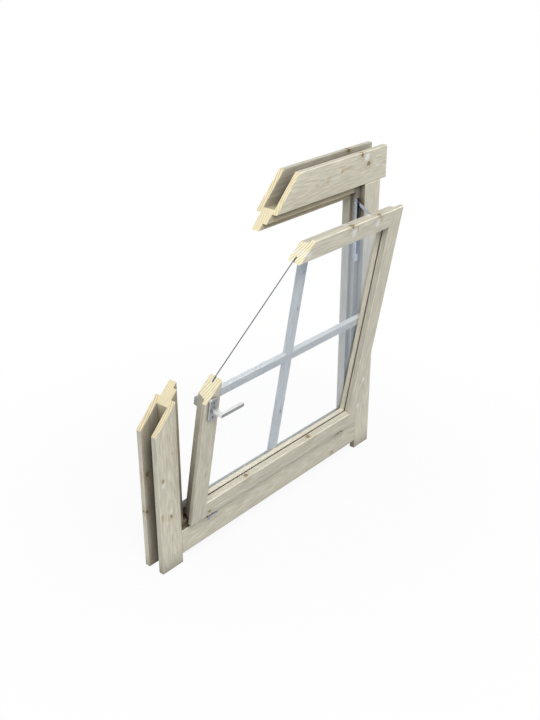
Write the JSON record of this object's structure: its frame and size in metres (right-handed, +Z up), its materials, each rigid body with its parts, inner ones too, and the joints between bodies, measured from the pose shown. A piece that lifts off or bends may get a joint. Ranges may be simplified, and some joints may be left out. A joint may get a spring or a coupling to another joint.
{
  "type": "sectioned bottom-hung wooden window",
  "caption": "Wooden log-wall window with casings on both faces, a tilting glazed sash, lever handle and stay, sawn open at one upper corner to show its sections.",
  "frame": {"origin": "middle of the sill rail's underside, which sits on the wall, in the middle of the wall's thickness", "axes": "+X to the right seen from the room, -Y towards the room, +Z up"},
  "size_m": [1.1025, 0.2498, 1.124],
  "materials": {
    "spruce": "planed, unfinished",
    "glass": "clear",
    "gasket": "matt",
    "satin_metal": "satin",
    "zinc_metal": "zinc plated"
  },
  "bodies": {
    "frame": {"left_jamb": "spruce", "right_jamb": "spruce", "head_rail": "spruce", "sill_rail": "spruce", "inner_left_casing": "spruce", "inner_right_casing": "spruce", "inner_head_casing": "spruce", "inner_bottom_casing": "spruce", "outer_left_casing": "spruce", "outer_right_casing": "spruce", "outer_head_casing": "spruce", "outer_bottom_casing": "spruce", "left_frame_hinge": "zinc_metal", "right_frame_hinge": "zinc_metal", "stay_channel": "zinc_metal", "stay_end_block": "zinc_metal", "stay_pivot": "zinc_metal"},
    "sash": {"left_stile": "spruce", "right_stile": "spruce", "top_rail": "spruce", "bottom_rail": "spruce", "glass_pane": "glass", "glazing_gasket": "gasket", "left_bead": "spruce", "right_bead": "spruce", "top_bead": "spruce", "bottom_bead": "spruce", "vertical_muntin": "spruce", "horizontal_muntin": "spruce", "left_sash_hinge": "zinc_metal", "right_sash_hinge": "zinc_metal", "handle_plate": "satin_metal", "stay_stud": "zinc_metal"},
    "handle": {"handle_lever": "satin_metal"},
    "stay": {"stay_arm": "zinc_metal"}
  },
  "joints": [
    {"name": "sash_tilt", "type": "hinge", "parent": "frame", "child": "sash", "pos_m": [0, -0.058, 0.0195], "axis": [1, 0, 0], "range_deg": [-9.9, 0]},
    {"name": "handle_turn", "type": "hinge", "parent": "sash", "child": "handle", "pos_m": [-0.4025, -0.14427, 0.45566], "axis": [0, -0.9851, -0.1719], "range_deg": [-90, 0]},
    {"name": "stay_swing", "type": "hinge", "parent": "frame", "child": "stay", "pos_m": [0.4335, -0.022, 0.85], "axis": [-1, 0, 0], "range_deg": [-50.07, 0]}
  ],
  "couplings": [
    {"joint": "stay_swing", "follows": "sash_tilt", "ratio": 5.0571}
  ]
}
